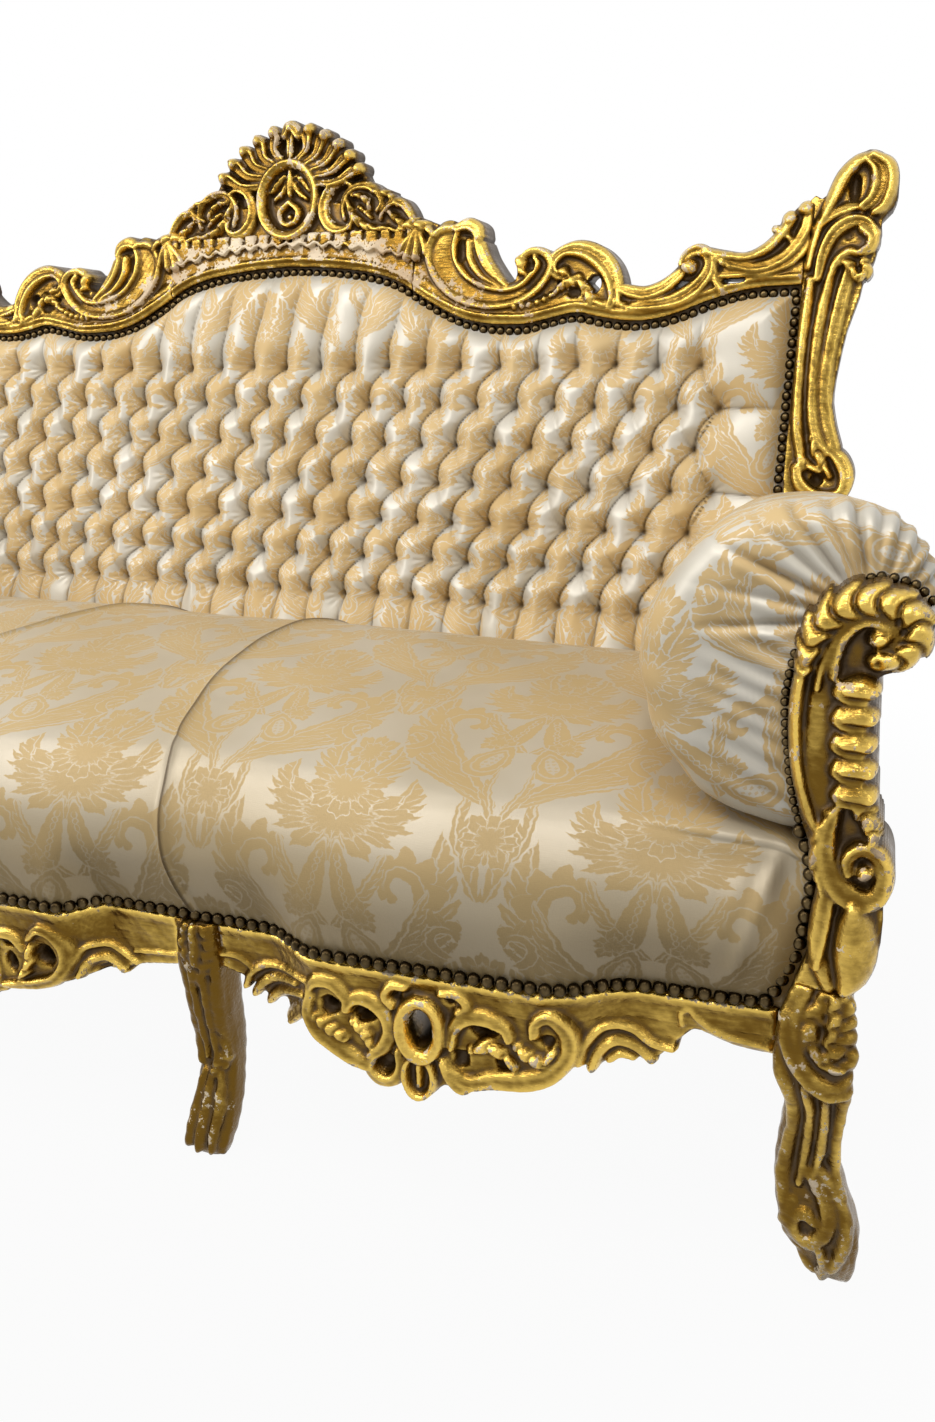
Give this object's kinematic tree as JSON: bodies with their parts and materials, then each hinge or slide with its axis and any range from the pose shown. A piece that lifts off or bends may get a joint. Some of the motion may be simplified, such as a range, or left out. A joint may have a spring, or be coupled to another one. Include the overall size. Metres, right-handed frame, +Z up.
{
  "type": "cabriole sofa",
  "caption": "Carved and gilded wood sofa with cabriole legs, a serpentine seat rail, a domed sprung seat, rolled arms and a diamond-tufted back",
  "frame": {"origin": "under the middle of the sofa's bounding box, on the floor", "axes": "X runs along the sofa to the sitter's left, the front faces -Y, Z is up"},
  "size_m": [2.0284, 0.9094, 1.2921],
  "materials": {
    "gilding": "worn gold leaf over carved wood",
    "damask": "satin silk damask, cream ground with beige foliage",
    "bare_wood": "sawn",
    "brass": "antique, dark",
    "jute": "woven",
    "wadding": "matt"
  },
  "bodies": {
    "root": {"crest_rail_centre": "gilding", "crest_rail_right": "gilding", "crest_rail_left": "gilding", "crest_shell": "gilding", "back_stile_right": "gilding", "back_stile_left": "gilding", "back_mid_leg_right": "gilding", "back_mid_leg_left": "gilding", "front_leg_right": "gilding", "front_leg_left": "gilding", "front_mid_leg_right": "gilding", "front_mid_leg_left": "gilding", "front_rail_centre": "gilding", "front_rail_right": "gilding", "front_rail_left": "gilding", "arm_post_right": "gilding", "arm_post_left": "gilding", "back_seat_rail": "bare_wood", "side_rail_right": "bare_wood", "side_rail_left": "bare_wood", "arm_top_rail_right": "bare_wood", "arm_top_rail_left": "bare_wood", "arm_lower_rail_right": "bare_wood", "arm_lower_rail_left": "bare_wood", "back_upright_right": "bare_wood", "back_upright_left": "bare_wood", "back_lower_rail": "bare_wood", "seat_brace_right": "bare_wood", "seat_brace_left": "bare_wood", "front_corner_block_right": "bare_wood", "front_corner_block_left": "bare_wood", "rear_corner_block_right": "bare_wood", "rear_corner_block_left": "bare_wood", "seat_webbing": "jute", "seat_base_cloth": "jute", "dust_cover": "jute", "seat_stuffing": "wadding", "seat_cover_centre": "damask", "seat_cover_right": "damask", "seat_cover_left": "damask", "tufted_back_pad": "damask", "back_base_cloth": "jute", "back_webbing": "jute", "outside_back_cover": "damask", "arm_pad_right": "damask", "arm_pad_left": "damask", "outside_arm_cover_right": "damask", "outside_arm_cover_left": "damask", "seat_nail_strip": "brass", "back_nail_strip": "brass", "arm_nail_strip_right": "brass", "arm_nail_strip_left": "brass"}
  },
  "joints": []
}
